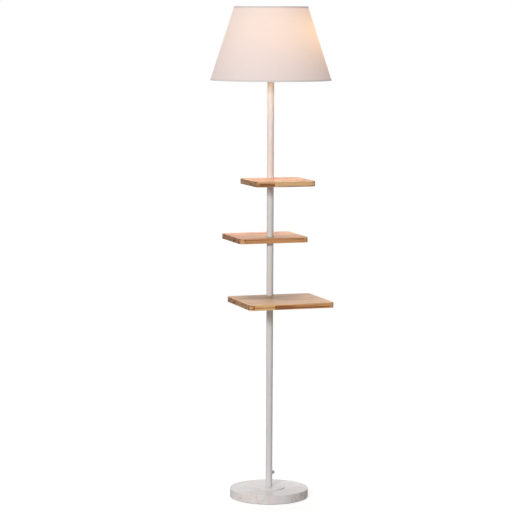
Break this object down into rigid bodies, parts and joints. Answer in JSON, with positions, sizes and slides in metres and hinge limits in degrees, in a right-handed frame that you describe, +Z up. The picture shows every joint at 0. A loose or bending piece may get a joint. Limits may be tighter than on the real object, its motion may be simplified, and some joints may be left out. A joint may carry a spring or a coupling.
{
  "type": "shelf floor lamp",
  "caption": "Floor lamp: tube pole on a round marble foot, rectangular wooden shelf boards that swivel about it, and a tapered fabric shade round a screw-in bulb.",
  "frame": {"origin": "centre of the foot's underside, on the floor and on the pole's axis", "axes": "+Z up the pole; -Y the front, towards which the top and bottom boards reach; +X right, where the cord gland is"},
  "size_m": [0.3909, 0.4235, 1.595],
  "materials": {
    "stone": "polished",
    "felt": "matt felt",
    "zinc_steel": "zinc plated",
    "white_metal": "satin powder coat",
    "wood": "clear lacquer, satin gloss",
    "white_plastic": "moulded",
    "nylon": "natural nylon",
    "lead_pvc": "soft PVC jacket",
    "ceramic": "glazed",
    "brass": "bright",
    "shade_fabric": "plain weave, off-white",
    "shade_film": "styrene film",
    "opal": "opal",
    "nickel": "nickel plated",
    "dark_glass": "black vitrite"
  },
  "bodies": {
    "stand": {"felt_pad": "felt", "marble_foot": "stone", "foot_washer": "zinc_steel", "foot_lock_washer": "zinc_steel", "foot_nut": "zinc_steel", "foot_stud": "zinc_steel", "cover_plate": "white_metal", "pole_section_1": "white_metal", "pole_inserts_1": "zinc_steel", "pole_section_2": "white_metal", "pole_inserts_2": "zinc_steel", "pole_section_3": "white_metal", "pole_inserts_3": "zinc_steel", "pole_section_4": "white_metal", "pole_inserts_4": "zinc_steel", "pole_section_5": "white_metal", "pole_inserts_5": "zinc_steel", "seam_nipple": "zinc_steel", "lampholder_nipple": "zinc_steel", "bottom_shelf_washers": "nylon", "bottom_shelf_nipple": "zinc_steel", "middle_shelf_washers": "nylon", "middle_shelf_nipple": "zinc_steel", "top_shelf_washers": "nylon", "top_shelf_nipple": "zinc_steel", "cord_gland": "white_plastic", "gland_nut": "white_plastic", "internal_lead": "lead_pvc", "lampholder_cap": "white_plastic", "lampholder_bush": "brass", "lampholder_grub_screw": "zinc_steel", "lampholder_insulator": "ceramic", "terminal_blocks": "brass", "terminal_screws": "zinc_steel", "contact_rivets": "brass", "centre_contact": "brass", "screw_shell": "brass", "lampholder_skirt": "white_plastic", "shade_retaining_ring": "white_plastic", "shade_fitter": "white_metal", "shade_bottom_wire": "white_metal", "shade_top_wire": "white_metal", "shade_liner": "shade_film", "shade_cover": "shade_fabric", "shade_bottom_trim": "shade_fabric", "shade_top_trim": "shade_fabric"},
    "bottom_board": {"bottom_shelf": "wood"},
    "middle_board": {"middle_shelf": "wood"},
    "top_board": {"top_shelf": "wood"},
    "bulb": {"bulb_tip": "nickel", "bulb_insulator": "dark_glass", "bulb_cap": "nickel", "bulb_collar": "opal", "bulb_led_board": "nickel", "bulb_globe": "opal"}
  },
  "joints": [
    {"name": "bottom_shelf_swivel", "type": "hinge", "parent": "stand", "child": "bottom_board", "pos_m": [0, 0, 0.6553], "axis": [0, 0, 1], "continuous": true},
    {"name": "middle_shelf_swivel", "type": "hinge", "parent": "stand", "child": "middle_board", "pos_m": [0, 0, 0.8459], "axis": [0, 0, 1], "continuous": true},
    {"name": "top_shelf_swivel", "type": "hinge", "parent": "stand", "child": "top_board", "pos_m": [0, 0, 1.0365], "axis": [0, 0, 1], "continuous": true},
    {"name": "bulb_lift_out", "type": "slide", "parent": "stand", "child": "bulb", "axis": [0, 0, 1], "range_m": [0, 0.22]}
  ]
}
